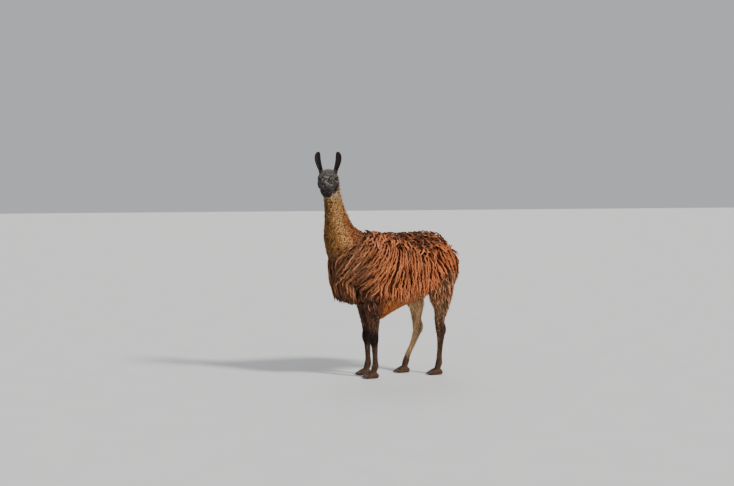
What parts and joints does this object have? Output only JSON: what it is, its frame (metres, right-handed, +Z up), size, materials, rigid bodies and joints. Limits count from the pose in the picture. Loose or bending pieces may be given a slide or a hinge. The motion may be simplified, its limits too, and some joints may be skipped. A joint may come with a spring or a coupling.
{
  "type": "llama",
  "caption": "Life-size standing llama in a long shaggy fleece, head turned to its left and right hind leg stepped forward, as a still museum model.",
  "frame": {"origin": "on the floor under the middle of the animal's box", "axes": "+Z up, the animal faces -Y, its left side is +X"},
  "size_m": [0.541, 1.286, 1.8325],
  "materials": {
    "fleece": "long matt reddish-brown wool in locks",
    "neck_wool": "dense matt light-brown wool",
    "dark_hair": "short matt dark-brown hair",
    "face_hair": "short near-black hair with a soft sheen",
    "nail_horn": "dark horn, satin",
    "eye": "wet dark gloss"
  },
  "bodies": {
    "root": {"torso": "fleece", "neck": "neck_wool", "tail": "fleece", "head": "face_hair", "ear_left": "face_hair", "ear_right": "face_hair", "eye_left": "eye", "eye_right": "eye", "foreleg_left_upper": "dark_hair", "foreleg_left_lower": "dark_hair", "foreleg_left_foot": "dark_hair", "foreleg_left_nail_inner": "nail_horn", "foreleg_left_nail_outer": "nail_horn", "foreleg_right_upper": "dark_hair", "foreleg_right_lower": "dark_hair", "foreleg_right_foot": "dark_hair", "foreleg_right_nail_inner": "nail_horn", "foreleg_right_nail_outer": "nail_horn", "hindleg_left_upper": "dark_hair", "hindleg_left_lower": "dark_hair", "hindleg_left_foot": "dark_hair", "hindleg_left_nail_inner": "nail_horn", "hindleg_left_nail_outer": "nail_horn", "hindleg_right_upper": "dark_hair", "hindleg_right_lower": "dark_hair", "hindleg_right_foot": "dark_hair", "hindleg_right_nail_inner": "nail_horn", "hindleg_right_nail_outer": "nail_horn"}
  },
  "joints": []
}
